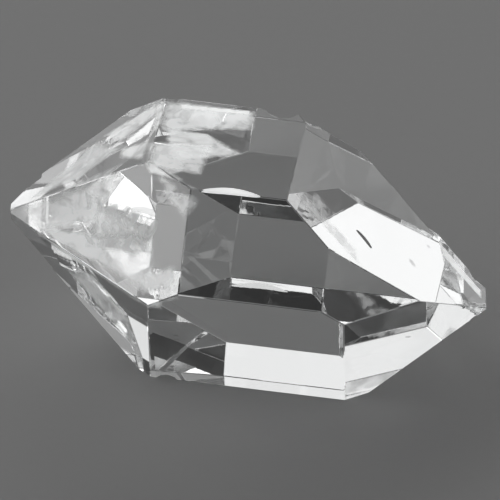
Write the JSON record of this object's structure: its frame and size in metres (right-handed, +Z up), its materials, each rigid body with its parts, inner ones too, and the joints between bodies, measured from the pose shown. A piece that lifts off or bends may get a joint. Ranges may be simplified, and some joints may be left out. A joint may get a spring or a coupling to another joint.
{
  "type": "herkimer diamond",
  "caption": "Loose double-ended quartz crystal, water clear, with flat prism sides and slanting end faces, lying on one side face.",
  "frame": {"origin": "on the flat bottom side face the crystal rests on, under the middle of its overall box", "axes": "+X along the crystal's long axis towards its longer right point, +Z up, -Y towards the front faces"},
  "size_m": [0.0234, 0.016, 0.0117],
  "materials": {
    "clear_quartz": "polished-looking natural crystal faces, transparent, refractive index 1.544 to 1.553"
  },
  "bodies": {
    "root": {"crystal": "clear_quartz"}
  },
  "joints": []
}
